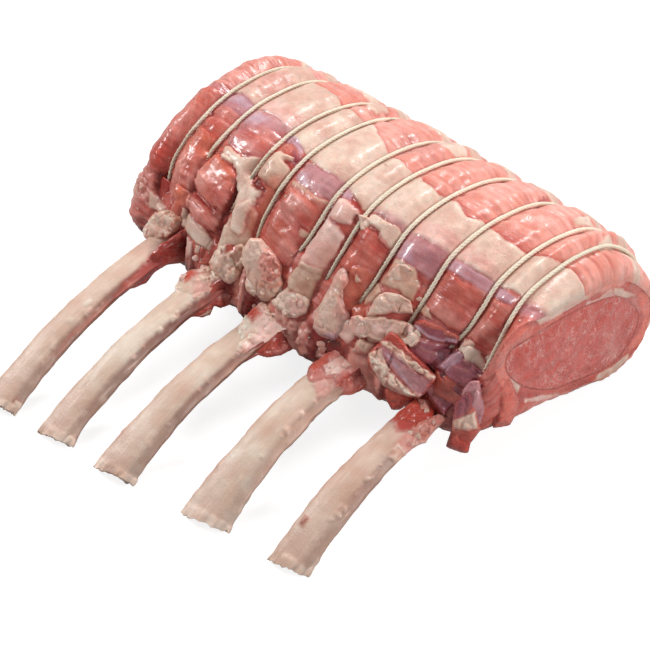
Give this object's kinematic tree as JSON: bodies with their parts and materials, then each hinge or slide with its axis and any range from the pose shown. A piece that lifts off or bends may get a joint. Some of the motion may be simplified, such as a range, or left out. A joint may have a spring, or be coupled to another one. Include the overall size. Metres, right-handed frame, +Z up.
{
  "type": "rack of veal",
  "caption": "Raw rack of veal: a loin roll with its eye showing at the cut end, fat cover, long frenched rib bones arching down to the surface, tied with loops of butcher's twine",
  "frame": {"origin": "middle of the underside of the bounding box, on the surface that the rack stands on", "axes": "+Z up; X runs along the roll, with the cut face that shows the loin eye at +X; the rib bones point to -Y"},
  "size_m": [0.242, 0.2602, 0.0973],
  "materials": {
    "meat": "moist, satin",
    "loin_eye": "moist, satin",
    "bone": "scraped, satin",
    "twine": "twisted cotton, matt"
  },
  "bodies": {
    "root": {"meat": "meat", "loin_eye": "loin_eye", "rib_1": "bone", "rib_2": "bone", "rib_3": "bone", "rib_4": "bone", "rib_5": "bone", "twine_1": "twine", "twine_2": "twine", "twine_3": "twine", "twine_4": "twine", "twine_5": "twine", "twine_6": "twine", "twine_7": "twine", "twine_8": "twine", "twine_9": "twine", "twine_10": "twine"}
  },
  "joints": []
}
